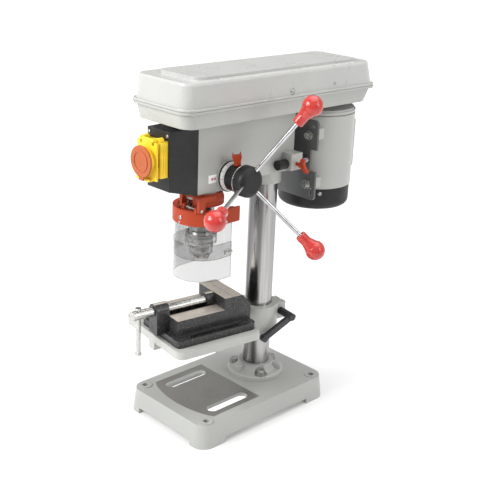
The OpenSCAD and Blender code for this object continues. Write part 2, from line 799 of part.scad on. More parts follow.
module lid_hinge() {
    color("silver") for (y = lid_knuckles) {
        along_y(hinge_x, y, rim_z + 4) cylinder(r = 1.5, h = knuckle_l);
        along_y(hinge_x, y + knuckle_l / 2, rim_z + 4) cylinder(r = 3, h = knuckle_l / 2);
        translate([hinge_x - 1.5, y + knuckle_l / 2, rim_z - 12]) cube([1.7, knuckle_l / 2, 16]);
        translate([hinge_x - 1.5, y + knuckle_l / 2, rim_z - 5]) cube([4.7, knuckle_l / 2, 4]);
    }
}

// ---------- motor ----------

module motor_bracket() {
    color("dimgray") translate([0, plate_y, bar_z]) difference() {
        along_y(0, 0, 0) linear_extrude(bracket_t) rounded(bracket_w, bracket_h, 6);
        for (x = [-1, 1]) translate([x * bracket_w / 2, bracket_t / 2, 0])
            cube([26, 2 * bracket_t, 36], center = true);
        for (x = [-1, 1], z = motor_bolt_zs) translate([x * motor_bolt_x, -eps, z - bar_z])
            along_y(0, 0, 0) cylinder(r = 3.2, h = bracket_t + 2 * eps);
        for (x = [-1, 1]) translate([x * (motor_bolt_x + 8), 0, -53])
            along_y(0, -eps, 0) linear_extrude(bracket_t + 2 * eps) slot2d(14, 5.5);
        for (x = [-1, 1]) along_y(x * (motor_bolt_x + 7), -eps, 55) cylinder(r = 3, h = bracket_t + 2 * eps);
    }
}

module slide_bars() {
    color("silver") for (x = [-1, 1]) along_y(x * bar_x, ear_y - 18, bar_z)
        cylinder(r = slide_bar_d / 2, h = plate_y - ear_y + 18);
}

module slide_bar_caps() {
    color("black") for (x = [-1, 1]) along_y(x * bar_x, ear_y - 21, bar_z) difference() {
        cylinder(r = slide_bar_d / 2 + 1.5, h = 19);
        translate([0, 0, 3]) cylinder(r = slide_bar_d / 2, h = 30);
    }
}

module motor_bolts() {
    color("lightgray") for (x = [-1, 1], z = motor_bolt_zs) translate([x * motor_bolt_x, plate_y, z]) {
        rotate([90, 0, 0]) hex_head(10, 6, 8);
        along_y(0, 0, 0) cylinder(r = 3.2, h = bracket_t + 14);
    }
}

module motor_shell() {
    color("silver") difference() {
        union() {
            translate([0, motor_y, motor_z]) cylinder(r = motor_r, h = motor_h - 9);
            translate([0, motor_y, motor_z]) cylinder(r = motor_r - 2.5, h = motor_h);
            translate([0, motor_y, motor_top - 7]) cylinder(r = motor_r, h = 4);
            for (x = [-1, 1], z = motor_bolt_zs) translate([x * motor_bolt_x - 6, plate_y + bracket_t, z - 9])
                cube([12, 24, 18]);
        }
        translate([0, motor_y, motor_z - eps]) cylinder(r = motor_r * 0.55, h = motor_h - 10);
        translate([0, motor_y, motor_z - eps]) cylinder(r = motor_r - 5, h = 14);
        translate([0, motor_y, motor_z]) cylinder(r = 8, h = motor_h + 10);
        for (x = [-1, 1], z = motor_bolt_zs) along_y(x * motor_bolt_x, plate_y + bracket_t - eps, z)
            cylinder(r = 3.2, h = 14 + eps);
    }
}

module motor_end_cap() {
    r = motor_r - 1.5;
    color("black") translate([0, motor_y, motor_z - end_cap_h]) difference() {
        rotate_extrude() polygon(concat([[0, 0], [r - 14, 0]],
            [for (a = [-60:15:0]) [r - 12 + 12 * cos(a), 11 + 11 * sin(a)]],
            [[r, end_cap_h], [0, end_cap_h]]));
        translate([0, 0, 3]) cylinder(r = r - 4, h = end_cap_h);
        for (a = [0:30:330]) rotate([0, 0, a]) translate([r * 0.5, 0, -eps]) cylinder(r = 3.5, h = 5);
    }
}

module capacitor_box() {
    color("silver") difference() {
        along_y(0, motor_y + motor_r - 4.5, motor_z + 60) linear_extrude(14.5) rounded(48, 88, 6);
        translate([0, motor_y, motor_z - eps]) cylinder(r = motor_r, h = motor_h);
    }
}

module motor_rotor() {
    color("slategray") translate([0, motor_y, 0]) {
        translate([0, 0, motor_z - end_cap_h + 8])
            cylinder(r = 7, h = pulley_z + steps * step_h + 30 - motor_z);
        translate([0, 0, motor_z + 18]) cylinder(r = motor_r * 0.55 - 1, h = motor_h * 0.55);
        translate([0, 0, motor_z - 22]) cylinder(r = motor_r - 12, h = 3);
        for (a = [0:45:315]) rotate([0, 0, a]) translate([6, -1, motor_z - 20]) cube([motor_r - 20, 2, 14]);
    }
}

module motor_lock_screw() {
    color("tomato") along_x(bar_x + 11 + 8, ear_y + ear_l / 2, bar_z) rotate([0, 0, 25])
        wing_screw(3, 8 + 10 - slide_bar_d / 2 + 0.5, 26, 12);
}

// ---------- switch ----------

module box_outline(inset) {
    polygon([[-head_half + inset, head_y0], [-box_front_w / 2 + inset, box_y0 + inset],
        [box_front_w / 2 - inset, box_y0 + inset], [head_half - inset, head_y0]]);
}

module switch_box() {
    floor_z = box_z1 - box_h;
    color("black") difference() {
        translate([0, 0, head_z]) linear_extrude(box_z1 - head_z) box_outline(0);
        translate([0, 0, head_z - eps]) linear_extrude(box_z1 - head_z - 3 + eps) box_outline(3);
        across(2 * head_w) polygon([[box_y0 - 1, head_z - 1], [box_y0 - 1, floor_z],
            [box_y0, floor_z], [head_y0 + 0.01, head_z + 0.01], [head_y0 + 0.01, head_z - 1]]);
        translate([-switch_w / 2 + 3, box_y0 - eps, switch_z - switch_h / 2 + 3])
            cube([switch_w - 6, 5, switch_h - 6]);
        translate([gland_x, gland_y, gland_z]) rotate([0, -90, 0]) cylinder(r = 9, h = 10);
    }
}

module switch_housing() {
    color("gold") difference() {
        union() {
            translate([-switch_w / 2, box_y0 - switch_depth, switch_z - switch_h / 2])
                cube([switch_w, switch_depth, switch_h]);
            for (x = [-1, 1]) translate([x * (switch_w / 2 - 6), 0, 0])
                along_y(0, box_y0 - switch_depth, flap_hinge_z) cylinder(r = 4, h = 8);
            for (x = [-1, 1])
                translate([x * (flap_barrel / 2 + 2.4) - 2, flap_y - flap_t - 1, flap_hinge_z - 1.6])
                    cube([4, 11, 4.6]);
            along_x(-flap_barrel / 2 - 2, flap_y - flap_t / 2, flap_hinge_z)
                cylinder(r = 1.2, h = flap_barrel + 4);
            translate([-switch_w / 2 + 3, box_y0 - eps, switch_z - switch_h / 2 + 3])
                cube([switch_w - 6, 26, switch_h - 6]);
        }
        for (x = [-1, 1]) translate([x * 10 - 8 - gap, box_y0 - switch_depth - eps, switch_z - 10 - gap])
            cube([16 + 2 * gap, 16, 20 + 2 * gap]);
    }
}

// Push button in the switch, left or right of the middle.
module push_button(x) {
    translate([x - 8, box_y0 - switch_depth - 2, switch_z - 10]) cube([16, 13, 20]);
}

module start_button() {
    color("green") push_button(-10);
}

module stop_button() {
    color("red") push_button(10);
}

module switch_flap() {
    h = switch_h + 3;
    color("gold") difference() {
        union() {
            translate([-switch_w / 2, flap_y - flap_t, switch_z - switch_h / 2 - 3])
                cube([switch_w, flap_t, h]);
            along_x(-flap_barrel / 2, flap_y - flap_t / 2, flap_hinge_z) cylinder(r = 2.6, h = flap_barrel);
            translate([-flap_barrel / 2, flap_y - flap_t, flap_hinge_z - 3]) cube([flap_barrel, flap_t, 3]);
            along_y(0, flap_y - flap_t - 5, switch_z - 2) cylinder(r = stop_d / 2 - 5, h = 6);
            translate([-switch_w / 2 + 2, flap_y - flap_t - 5, switch_z - switch_h / 2 - 5])
                cube([switch_w - 12, 7, 3]);
        }
        along_y(stem_x, flap_y - 20, switch_z - 2) cylinder(r = 6 + fit, h = 40);
        along_x(-switch_w, flap_y - flap_t / 2, flap_hinge_z) cylinder(r = 1.2 + fit, h = 2 * switch_w);
        for (x = [-1, 1]) translate([x * (flap_barrel / 2 + 2.4) - 2.4, flap_y - 10, flap_hinge_z - 7])
            cube([4.8, 20, 20]);
    }
}

module stop_disc() {
    y = flap_y - flap_t - 5;
    color("tomato") {
        along_y(0, y - 6.6, switch_z - 2) cylinder(r = stop_d / 2, h = 3);
        along_y(0, y - 7.6, switch_z - 2) tube(stop_d / 2 - 7, stop_d / 2 - 9, 2);
        along_y(stem_x, y - 5, switch_z - 2) cylinder(r = 6, h = flap_t + 10 - gap + 1.6);
        translate([-5, y - 6.1, switch_z - stop_d / 2 - 7]) cube([10, 2.5, 8]);
    }
}

module cord_gland() {
    color("black") translate([gland_x, gland_y, gland_z]) rotate([0, -90, 0]) difference() {
        union() {
            cylinder(r = 9, h = 3);
            translate([0, 0, 2]) cylinder(r = 10, h = 8, $fn = 6);
            translate([0, 0, 9]) cylinder(r1 = 8, r2 = 6, h = 8);
        }
        translate([0, 0, 4]) cylinder(r = 3.5, h = 20);
    }
}

// ---------- guard ----------

// Plan of the guard: half a ring in front of the spindle with two straight tails behind it.
module guard_plan(ro, t, tail) {
    difference() {
        union() {
            circle(ro);
            translate([-ro, 0]) square([2 * ro, tail]);
        }
        circle(ro - t);
        translate([-ro + t, 0]) square([2 * (ro - t), 3 * ro]);
        translate([-2 * ro, tail]) square([4 * ro, 2 * ro]);
    }
}

module guard_knuckle(x, l) {
    along_x(x, guard_hinge_y, guard_hinge_z) cylinder(r = 4.5, h = l);
}

module guard_clamp() {
    z = boss_z + 1;
    color("orangered") difference() {
        union() {
            translate([0, spindle_y, z - 10]) cylinder(r = boss_r + 6, h = 10);
            translate([0, spindle_y, z]) cylinder(r1 = boss_r + 6, r2 = boss_r + 3, h = 9);
            for (x = [-9, 31]) {
                guard_knuckle(x, 6);
                translate([x, guard_hinge_y - 4, guard_hinge_z]) cube([6, 12, z + 8 - guard_hinge_z]);
                translate([x, guard_hinge_y, z + 1]) cube([6, 30, 7]);
            }
            translate([-boss_r - 12, spindle_y - 9, z]) cube([14, 18, 9]);
        }
        translate([0, spindle_y, z - 20]) cylinder(r = boss_r, h = 40);
        translate([-3 - gap, guard_hinge_y - 20, guard_hinge_z - 10])
            cube([34 + gap, 26, z - guard_hinge_z + 14]);
        translate([-boss_r - 20, spindle_y - 1.5, z - 1]) cube([24, 3, 12]);
        along_x(-20, guard_hinge_y, guard_hinge_z) cylinder(r = 2.5, h = 80);
        along_y(-boss_r - 8, spindle_y - 20, z + 4.5) cylinder(r = 2.1, h = 40);
    }
}

module guard_clamp_screw() {
    color("dimgray") {
        along_y(-boss_r - 8, spindle_y - 9 - 3, boss_z + 5.5) cylinder(r = 2.1, h = 23);
        along_y(-boss_r - 8, spindle_y - 9 - 4, boss_z + 5.5) cylinder(r = 3.8, h = 4);
        along_y(-boss_r - 8, spindle_y + 9, boss_z + 5.5) cylinder(r = 4, h = 3.2, $fn = 6);
    }
}

module guard_pin() {
    color("silver") along_x(-10, guard_hinge_y, guard_hinge_z) cylinder(r = 2.5, h = 48);
}

module guard_holder() {
    color("orangered") difference() {
        union() {
            translate([0, spindle_y, guard_z0]) linear_extrude(guard_holder_h) guard_plan(guard_r, 3, 39);
            translate([0, spindle_y, guard_z1 - 2]) linear_extrude(2) guard_plan(guard_r, 8, 30);
            for (x = [-2.6, 24.6]) {
                guard_knuckle(x, 5.2);
                translate([x, guard_hinge_y - 4, guard_z1 - 2]) cube([5.2, 8, 5]);
            }
        }
        along_x(-20, guard_hinge_y, guard_hinge_z) cylinder(r = 2.5 + fit, h = 80);
        for (x = [-9, 31]) translate([x - gap, guard_hinge_y - 9, guard_z1 - 3])
            cube([6 + 2 * gap, 15, 20]);
    }
}

module shield_upper() {
    z0 = guard_z0 - guard_upper_h;
    color("lightgray", 0.35) translate([0, spindle_y, z0]) linear_extrude(guard_z1 - 5 - z0)
        guard_plan(guard_r - 3, guard_t, 26);
}

module shield_lower() {
    z0 = guard_z0 - guard_upper_h - guard_lower_h + 24.5;
    color("lightgray", 0.35) translate([0, spindle_y, z0]) linear_extrude(guard_lower_h)
        guard_plan(guard_r - 3 + gap + guard_t, guard_t, 25);
}

// ---------- table ----------

module table() {
    y_mid = (table_y0 + table_y1) / 2;
    color("gainsboro") swung() difference() {
        union() {
            translate([0, 0, table_z - table_t]) linear_extrude(table_t)
                rounded_y(table_w, table_y0, table_y1, 14);
            translate([-8, table_y0 + 1, tilt_z - 2]) cube([16, table_d - 12, 20]);
            translate([-table_w / 2 + 8, y_mid - 4, table_z - table_t - 8]) cube([table_w - 16, 8, 12]);
            along_y(0, table_y1 - 20, tilt_z) cylinder(r = tilt_r, h = 24);
        }
        for (x = [-1, 1], y = [-1, 1])
            translate([x * table_w * 0.3, y_mid + y * table_d * 0.24, table_z - table_t - 10])
                linear_extrude(40) slot2d(44, 11);
        translate([0, spindle_y, table_z - 60]) cylinder(r = 14, h = 100);
        along_y(0, table_y1 - 30, tilt_z) cylinder(r = 6 + fit, h = 60);
        translate([-12, table_y1 - 34, tilt_z - 12]) cube([24, 14, 24]);
        translate([-2 * tilt_r, table_y0, table_z]) cube([4 * tilt_r, table_d + 40, 40]);
    }
}

module table_bracket() {
    face_y = table_y1 + 4 + gap;
    color("gainsboro") swung() difference() {
        union() {
            translate([0, column_y, collar_z]) cylinder(r = collar_r, h = collar_h);
            along_y(0, face_y, tilt_z) cylinder(r = tilt_r, h = 10);
            across(2 * tilt_r - 8) polygon([[face_y + 1, tilt_z - 14], [face_y + 1, tilt_z + 16],
                [column_y - collar_r + 8, collar_z + collar_h - 6], [column_y, collar_z + collar_h - 6],
                [column_y, collar_z + 4], [column_y - collar_r, collar_z + 4]]);
            translate([-14, column_y, clamp_z - 15]) cube([28, collar_r + 15, 30]);
        }
        translate([0, column_y, collar_z - 20]) cylinder(r = column_r + fit, h = 100);
        translate([-1.5, column_y, collar_z - 20]) cube([3, 100, 100]);
        along_y(0, face_y - 5, tilt_z) cylinder(r = 6, h = column_y - column_r - face_y + 2);
        along_x(-30, clamp_y, clamp_z) cylinder(r = 5 + fit, h = 60);
    }
}

module tilt_bolt() {
    color("dimgray") swung() {
        along_y(0, table_y1 - 20, tilt_z) cylinder(r = 6, h = 20 + 4 + gap + 12);
        along_y(0, table_y1 - 27, tilt_z) cylinder(r = 10, h = 7, $fn = 6);
    }
}

module clamp_lever() {
    color("black") swung() translate([0, clamp_y, clamp_z]) {
        along_x(-20, 0, 0) cylinder(r = 5, h = 60);
        along_x(-24, 0, 0) cylinder(r = 7, h = 9.5, $fn = 6);
        along_x(14.5, 0, 0) cylinder(r = 6.5, h = 35);
        rotate([26, 0, 0]) {
            translate([41, -62, -5]) cube([7, 62, 10]);
            along_x(40, -62, 0) cylinder(r = 6, h = 9);
        }
    }
}

// ---------- vise ----------

module at_vise() {
    swung() translate([vise_x, 0, 0]) children();
}

module vise_body() {
    mid_y = (vise_y0 + vise_y1) / 2;
    color("dimgray") at_vise() difference() {
        union() {
            translate([0, 0, table_z]) linear_extrude(vise_flange_t)
                rounded_y(vise_w, vise_y0, vise_y1, 8);
            translate([-jaw_w / 2, vise_y0 + 10, table_z + 2]) cube([jaw_w, vise_l - 10, way_h - 2]);
            across(jaw_w) polygon([[jaw_face_y, way_z - 2], [jaw_face_y, jaw_z1],
                [jaw_face_y + 17, jaw_z1], [vise_y1, way_z]]);
            along_y(0, vise_y0 - 12, screw_z) cylinder(r = vise_screw_d / 2 + 6, h = 23);
            translate([-vise_screw_d / 2 - 6, vise_y0 - 12, table_z + 8])
                cube([vise_screw_d + 12, 23, screw_z - table_z - 8]);
        }
        for (x = [-1, 1]) translate([x * (jaw_w / 2 + 10), mid_y, table_z - eps]) linear_extrude(40)
            slot2d(vise_l - 50, 9);
        translate([-way_gap / 2, vise_y0 + 11, table_z + 8])
            cube([way_gap, jaw_face_y - vise_y0 - 11, 60]);
        along_y(0, vise_y0 - 20, screw_z) cylinder(r = vise_screw_d / 2 + fit, h = 60);
    }
}

module vise_jaw() {
    y1 = jaw_face_y - gap;
    color("dimgray") at_vise() difference() {
        union() {
            translate([-jaw_w / 2, y1 - jaw_t, way_z + gap]) cube([jaw_w, jaw_t, vise_jaw_h - gap]);
            translate([-way_gap / 2 + gap, y1 - jaw_t - 8, way_z - 14])
                cube([way_gap - 2 * gap, jaw_t + 8, 20]);
            along_y(0, y1 - jaw_t - 14, screw_z) cylinder(r = screw_z - way_z - gap + 4, h = 15);
        }
        along_y(0, y1 - jaw_t - 20, screw_z) cylinder(r = 5 + fit, h = 20 + jaw_t - 4);
    }
}

module vise_screw() {
    y1 = jaw_face_y - gap - jaw_t - 14 - gap;
    color("lightgray") at_vise() difference() {
        union() {
            along_y(0, vise_y0 - 14, screw_z) cylinder(r = vise_screw_d / 2, h = y1 - vise_y0 + 14);
            along_y(0, y1 - 1, screw_z) cylinder(r = 5, h = 24);
            along_y(0, vise_head_y, screw_z) cylinder(r = vise_screw_d / 2 + 1.2, h = 36);
        }
        translate([0, vise_head_y + 11, screw_z - 20]) cylinder(r = bar_r + fit, h = 40);
    }
}

module vise_bar() {
    color("lightgray") at_vise() translate([0, vise_head_y + 11, screw_z - 68]) {
        cylinder(r = bar_r, h = 80);
        cylinder(r = bar_r + 1.2, h = 3);
        translate([0, 0, 77]) cylinder(r = bar_r + 1.2, h = 3);
    }
}

base();
column_flange();
flange_bolts();
column();
head();
head_set_screws();
cover_pan();
drive_bearings();
return_spring();
spring_cap();
guard_clamp();
guard_clamp_screw();
switch_box();
switch_housing();
start_button();
stop_button();
switch_flap();
stop_disc();
drive_belt();
cord_gland();
lid();
lid_hinge();
pinion_shaft();
feed_hub();
feed_rods();
feed_knobs();
depth_collar();
depth_scale();
depth_wing_screw();
quill();
quill_bearings();
spindle();
chuck_body();
chuck_sleeve();
chuck_jaw_1();
chuck_jaw_2();
chuck_jaw_3();
spindle_pulley();
motor_bracket();
slide_bars();
slide_bar_caps();
motor_bolts();
motor_shell();
motor_end_cap();
capacitor_box();
motor_rotor();
motor_pulley();
motor_lock_screw();
guard_holder();
guard_pin();
shield_upper();
shield_lower();
table_bracket();
clamp_lever();
table();
tilt_bolt();
vise_body();
vise_jaw();
vise_screw();
vise_bar();
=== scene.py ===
"""Looks for a bench drill press: finishes, turned and moulded detail, soft light and a camera."""
import json
import math

import bmesh
import bpy
from mathutils import Matrix, Vector


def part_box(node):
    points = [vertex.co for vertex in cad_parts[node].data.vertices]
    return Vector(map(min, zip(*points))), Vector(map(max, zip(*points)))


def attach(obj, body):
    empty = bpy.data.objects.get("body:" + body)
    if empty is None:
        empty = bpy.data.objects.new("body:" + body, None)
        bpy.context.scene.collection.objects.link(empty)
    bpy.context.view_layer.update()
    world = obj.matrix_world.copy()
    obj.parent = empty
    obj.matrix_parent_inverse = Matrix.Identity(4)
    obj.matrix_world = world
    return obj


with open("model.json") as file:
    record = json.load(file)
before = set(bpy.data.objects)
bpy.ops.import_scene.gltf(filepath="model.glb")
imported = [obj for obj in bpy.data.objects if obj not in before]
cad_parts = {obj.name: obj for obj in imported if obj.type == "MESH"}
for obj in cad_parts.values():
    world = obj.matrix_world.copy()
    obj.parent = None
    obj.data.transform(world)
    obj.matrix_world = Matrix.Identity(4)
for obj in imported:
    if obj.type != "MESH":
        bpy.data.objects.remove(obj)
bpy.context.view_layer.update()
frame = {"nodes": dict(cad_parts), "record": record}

nodes = frame["nodes"]
slot_of = {part["node"]: part["material_slot"] for part in frame["record"]["subparts"]}


# ---------- camera and light ----------

def add_camera():
    eye = Vector((1.0302, -0.9897, 0.8093))
    target = Vector((0.0380, -0.0016, 0.2891))
    tilt = math.radians(2.42)
    forward = (target - eye).normalized()
    level = forward.cross(Vector((0, 0, 1))).normalized()
    upright = level.cross(forward)
    right = math.cos(tilt) * level + math.sin(tilt) * upright
    up = right.cross(forward)
    camera = bpy.data.objects.new("camera", bpy.data.cameras.new("camera"))
    camera.data.lens = 67.4
    camera.data.sensor_width = 36
    rotation = Matrix((right, up, -forward)).transposed().to_4x4()
    camera.matrix_world = Matrix.Translation(eye) @ rotation
    bpy.context.scene.collection.objects.link(camera)
    bpy.context.scene.camera = camera


def add_light(name, place, aim, size, watts):
    lamp = bpy.data.lights.new(name, "AREA")
    lamp.shape = "RECTANGLE"
    lamp.size, lamp.size_y = size
    lamp.energy = watts
    lamp_object = bpy.data.objects.new(name, lamp)
    lamp_object.location = place
    lamp_object.rotation_euler = (Vector(aim) - Vector(place)).to_track_quat("-Z", "Y").to_euler()
    bpy.context.scene.collection.objects.link(lamp_object)


def add_world():
    """A soft room with dark panels low down on three sides, for the metal to mirror."""
    world = bpy.data.worlds.new("studio")
    world.use_nodes = True
    tree = world.node_tree
    background = tree.nodes["Background"]
    split = tree.nodes.new("ShaderNodeSeparateXYZ")
    tree.links.new(tree.nodes.new("ShaderNodeTexCoord").outputs["Generated"], split.inputs["Vector"])

    def step(kind, first, second):
        sum_node = tree.nodes.new("ShaderNodeMath")
        sum_node.operation = kind
        for socket, value in zip(sum_node.inputs, (first, second)):
            if isinstance(value, bpy.types.NodeSocket):
                tree.links.new(value, socket)
            else:
                socket.default_value = value
        return sum_node.outputs["Value"]

    x, y, z = split.outputs
    turn = step("MULTIPLY", step("ARCTAN2", y, x), 3.0)
    panels = step("GREATER_THAN", step("SINE", step("ADD", turn, 0.9), 0.0), 0.25)
    low_down = step("LESS_THAN", step("ABSOLUTE", z, 0.0), 0.42)
    dark = step("MULTIPLY", step("MULTIPLY", panels, low_down), 0.86)
    tree.links.new(step("MULTIPLY", step("SUBTRACT", 1.0, dark), 0.62), background.inputs["Strength"])
    background.inputs["Color"].default_value = (1, 1, 1, 1)
    bpy.context.scene.world = world


def add_studio():
    add_light("window_left", (-0.6, -2.0, 1.5), (0, 0, 0.35), (1.4, 1.2), 58)
    add_light("ceiling", (0.1, 0.3, 1.7), (0, 0, 0.2), (1.5, 1.5), 16)
    add_light("fill", (2.2, 0.6, 1.2), (0, 0, 0.3), (1.0, 1.4), 15)
    add_world()
    bpy.context.scene.view_settings.view_transform = "Standard"


def add_floor():
    """White paper with painted light and shade: it glows far behind the machine and under its base (painted
    light, as no lamp is there), and is painted darker, fading to grey, in front (painted shade).
    """
    bpy.ops.mesh.primitive_plane_add(size=60)
    floor = bpy.context.object
    floor.name = "floor"
    look = Finish("floor_paper")
    x, y = look.place()[:2]
    forward = look.math("MULTIPLY", look.math("SUBTRACT", x, y), 0.7071)
    # Painted shade: the paper's colour darkens to grey in front of the machine.
    painted_shade_in_front = look.ramp(forward, 0.6, 1.3, 0.0, 1.0)
    look.set("Base Color", look.blend(painted_shade_in_front, (0.93, 0.93, 0.93), (0.45, 0.45, 0.45)))
    look.set("Roughness", 0.7)
    # Painted light: the paper glows, brighter the further behind the machine it lies.
    painted_glow_behind = look.ramp(forward, -0.4, -2.6, 0.0, 0.5)
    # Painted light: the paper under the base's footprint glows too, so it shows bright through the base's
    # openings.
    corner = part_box("base")[1]
    inset = 0.012
    beside = look.math("MAXIMUM", look.math("SUBTRACT", look.math("ABSOLUTE", x), corner.x - inset),
                       look.math("SUBTRACT", look.math("ABSOLUTE", y), corner.y - inset))
    look.set("Emission Color", (1, 1, 1))
    look.set("Emission Strength", look.math("ADD", painted_glow_behind, look.ramp(beside, 0.0, -0.02, 0.0, 0.9)))
    floor.data.materials.append(look.material)


# ---------- shader building blocks ----------

class Finish:
    """A material on a Principled shader, with short calls for the patterns that it is mixed from."""

    def __init__(self, name):
        self.material = bpy.data.materials.new(name)
        self.material.use_nodes = True
        self.tree = self.material.node_tree
        self.shader = self.tree.nodes["Principled BSDF"]
        self.coordinates = self.tree.nodes.new("ShaderNodeTexCoord").outputs["Object"]
        self.geometry = self.tree.nodes.new("ShaderNodeNewGeometry")

    def put(self, socket, value):
        """Sets an input to a number or colour, or links it to another node's output."""
        if isinstance(value, bpy.types.NodeSocket):
            self.tree.links.new(value, socket)
        elif isinstance(value, (tuple, list)) and len(value) == 3 and socket.type == "RGBA":
            socket.default_value = (*value, 1)
        else:
            socket.default_value = value

    def set(self, name, value):
        self.put(self.shader.inputs[name], value)

    def placed(self, stretch):
        mapping = self.tree.nodes.new("ShaderNodeMapping")
        mapping.inputs["Scale"].default_value = stretch
        self.put(mapping.inputs["Vector"], self.coordinates)
        return mapping.outputs["Vector"]

    def noise(self, scale, detail=3, stretch=(1, 1, 1), roughness=0.5):
        texture = self.tree.nodes.new("ShaderNodeTexNoise")
        texture.inputs["Scale"].default_value = scale
        texture.inputs["Detail"].default_value = detail
        texture.inputs["Roughness"].default_value = roughness
        self.put(texture.inputs["Vector"], self.placed(stretch))
        return texture.outputs["Fac"]

    def math(self, kind, first, second=0.0, third=0.0):
        step = self.tree.nodes.new("ShaderNodeMath")
        step.operation = kind
        for socket, value in zip(step.inputs, (first, second, third)):
            self.put(socket, value)
        return step.outputs["Value"]

    def ramp(self, value, low, high, start=0.0, end=1.0):
        """Takes value from low..high to start..end, and holds it at the ends."""
        step = self.tree.nodes.new("ShaderNodeMapRange")
        step.interpolation_type = "SMOOTHSTEP"
        for name, number in (("Value", value), ("From Min", low), ("From Max", high),
                             ("To Min", start), ("To Max", end)):
            self.put(step.inputs[name], number)
        return step.outputs["Result"]

    def blend(self, share, first, second):
        step = self.tree.nodes.new("ShaderNodeMix")
        step.data_type = "RGBA"
        self.put(step.inputs["Factor"], share)
        self.put(step.inputs["A"], first)
        self.put(step.inputs["B"], second)
        return step.outputs["Result"]

    def place(self):
        """The X, Y and Z of the point, as three outputs."""
        split = self.tree.nodes.new("ShaderNodeSeparateXYZ")
        self.put(split.inputs["Vector"], self.coordinates)
        return split.outputs

    def facing(self):
        """The X, Y and Z of the surface's normal, in the piece's own axes."""
        turned = self.tree.nodes.new("ShaderNodeTexCoord").outputs["Normal"]
        split = self.tree.nodes.new("ShaderNodeSeparateXYZ")
        self.put(split.inputs["Vector"], turned)
        return split.outputs

    def rounded_normal(self, radius):
        bevel = self.tree.nodes.new("ShaderNodeBevel")
        bevel.samples = 6
        bevel.inputs["Radius"].default_value = radius
        return bevel.outputs["Normal"]

    def edges(self, radius):
        """1 on a sharp edge, 0 away from it."""
        product = self.tree.nodes.new("ShaderNodeVectorMath")
        product.operation = "DOT_PRODUCT"
        self.put(product.inputs[0], self.rounded_normal(radius))
        self.put(product.inputs[1], self.geometry.outputs["Normal"])
        return self.ramp(product.outputs["Value"], 0.97, 0.80)

    def relief(self, height, strength, depth, under=None):
        step = self.tree.nodes.new("ShaderNodeBump")
        step.inputs["Strength"].default_value = strength
        step.inputs["Distance"].default_value = depth
        self.put(step.inputs["Height"], height)
        if under is not None:
            self.put(step.inputs["Normal"], under)
        return step.outputs["Normal"]


def shade(colour, factor):
    return tuple(min(1, channel * factor) for channel in colour)


# ---------- finishes ----------

def enamel_look(name, colour, roughness=0.32, wear=0.4, worn_shade=0.66):
    """Sprayed enamel: soft colour drift, orange peel, and paint rubbed thin along the edges."""
    look = Finish(name)
    drift = look.ramp(look.noise(7, 4), 0.3, 0.7)
    base = look.blend(drift, shade(colour, 0.97), shade(colour, 1.025))
    specks = look.ramp(look.noise(900, 2), 0.70, 0.76)
    base = look.blend(look.math("MULTIPLY", specks, 0.08), base, shade(colour, 0.5))
    worn = look.math("MULTIPLY", look.edges(0.0009), look.ramp(look.noise(160, 4), 0.46, 0.66))
    base = look.blend(look.math("MULTIPLY", worn, wear), base, shade(colour, worn_shade))
    look.set("Base Color", base)
    smears = look.noise(26, 4, (1, 1, 0.35))
    look.set("Roughness", look.ramp(smears, 0.2, 0.8, roughness - 0.02, roughness + 0.03))
    look.set("Coat Weight", 0.12)
    look.set("Coat Roughness", 0.2)
    normal = look.relief(look.noise(520, 2), 0.25, 0.00012, look.rounded_normal(0.0012))
    look.set("Normal", look.relief(look.noise(45, 2), 0.03, 0.0006, normal))
    return look


def enamel(name, colour, roughness=0.32, wear=0.4, worn_shade=0.66):
    return enamel_look(name, colour, roughness, wear, worn_shade).material


def bare_metal(name, colour, roughness, streak=(1, 1, 1), streak_scale=300, mark=0.3, edge=0.0006):
    """Bare metal: fine marks that run along the streak, stains and bright edges."""
    look = Finish(name)
    marks = look.noise(streak_scale, 3, streak)
    stains = look.noise(34, 4)
    base = look.blend(look.ramp(stains, 0.35, 0.7), shade(colour, 0.86), shade(colour, 1.05))
    base = look.blend(look.math("MULTIPLY", look.ramp(marks, 0.4, 0.7), 0.30), base, shade(colour, 0.72))
    base = look.blend(look.math("MULTIPLY", look.edges(edge), 0.5), base, shade(colour, 1.3))
    look.set("Base Color", base)
    look.set("Metallic", 1.0)
    look.set("Roughness", look.ramp(marks, 0.3, 0.7, roughness * 0.75, roughness * 1.35))
    look.set("Normal", look.relief(marks, mark, 0.00006, look.rounded_normal(edge)))
    return look.material


def column_steel():
    """Steel tube, ground along its length: long tonal streaks, part grinding marks and part painted
    reflection bands, over fine scratches.
    """
    look = Finish("column_steel")
    # Vertical streaks from dark to light in the steel's colour: grinding marks and painted reflection bands
    # together.
    streaks_and_painted_reflection = look.ramp(look.noise(62, 1, (1, 1, 0.02)), 0.38, 0.62)
    fine = look.noise(900, 3, (1, 1, 0.01))
    base = look.blend(streaks_and_painted_reflection, (0.15, 0.145, 0.145), (0.46, 0.455, 0.45))
    base = look.blend(look.math("MULTIPLY", look.ramp(fine, 0.4, 0.7), 0.35), base, (0.12, 0.12, 0.12))
    look.set("Base Color", base)
    look.set("Metallic", 1.0)
    look.set("Roughness", look.ramp(look.noise(30, 4, (1, 1, 0.3)), 0.3, 0.7, 0.16, 0.27))
    look.set("Normal", look.relief(fine, 0.12, 0.00004, look.rounded_normal(0.0006)))
    return look.material


